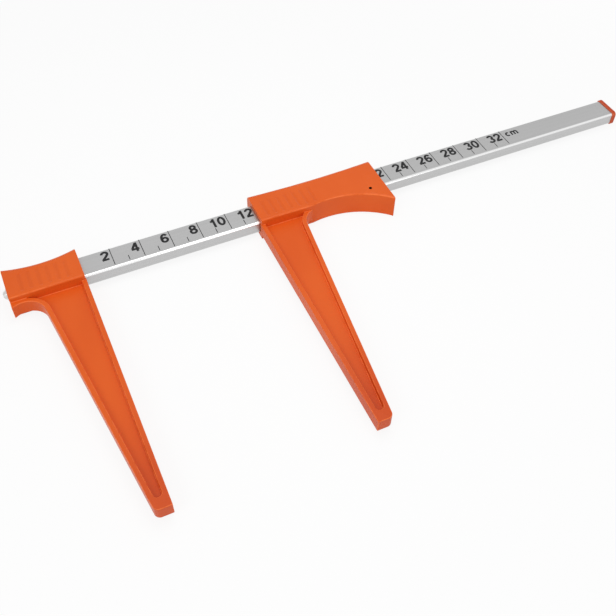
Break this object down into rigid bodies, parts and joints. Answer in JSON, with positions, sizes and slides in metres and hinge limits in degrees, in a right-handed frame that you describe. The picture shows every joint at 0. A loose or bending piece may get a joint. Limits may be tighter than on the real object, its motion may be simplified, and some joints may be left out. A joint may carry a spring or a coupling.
{
  "type": "log caliper",
  "caption": "Log caliper: a scaled rectangular tube beam with a fixed jaw at its butt, a sliding jaw with a finger grip, and an end cap that stops the slide.",
  "frame": {"origin": "on the fixed jaw's measuring face, in the throat where that face meets the front of the sleeves, and on the beam's middle plane", "axes": "+X along the beam from the fixed jaw to the end cap, -Y along the arms to their tips, +Z out of the scaled face"},
  "size_m": [0.4671, 0.1949, 0.018],
  "materials": {
    "orange_plastic": "moulded, satin",
    "aluminium": "drawn and anodised, printed on one face",
    "zinc_steel": "bright zinc",
    "spring_steel": "oiled",
    "black_nylon": "moulded"
  },
  "bodies": {
    "frame": {"beam": "aluminium", "fixed_jaw": "orange_plastic", "butt_plug": "black_nylon", "butt_washer": "zinc_steel", "butt_screw": "zinc_steel", "end_cap": "orange_plastic"},
    "slider": {"sliding_jaw": "orange_plastic", "drag_spring": "spring_steel", "drag_pin": "spring_steel"}
  },
  "joints": [
    {"name": "jaw_slide", "type": "slide", "parent": "frame", "child": "slider", "axis": [1, 0, 0], "range_m": [-0.1189, 0.201]}
  ]
}
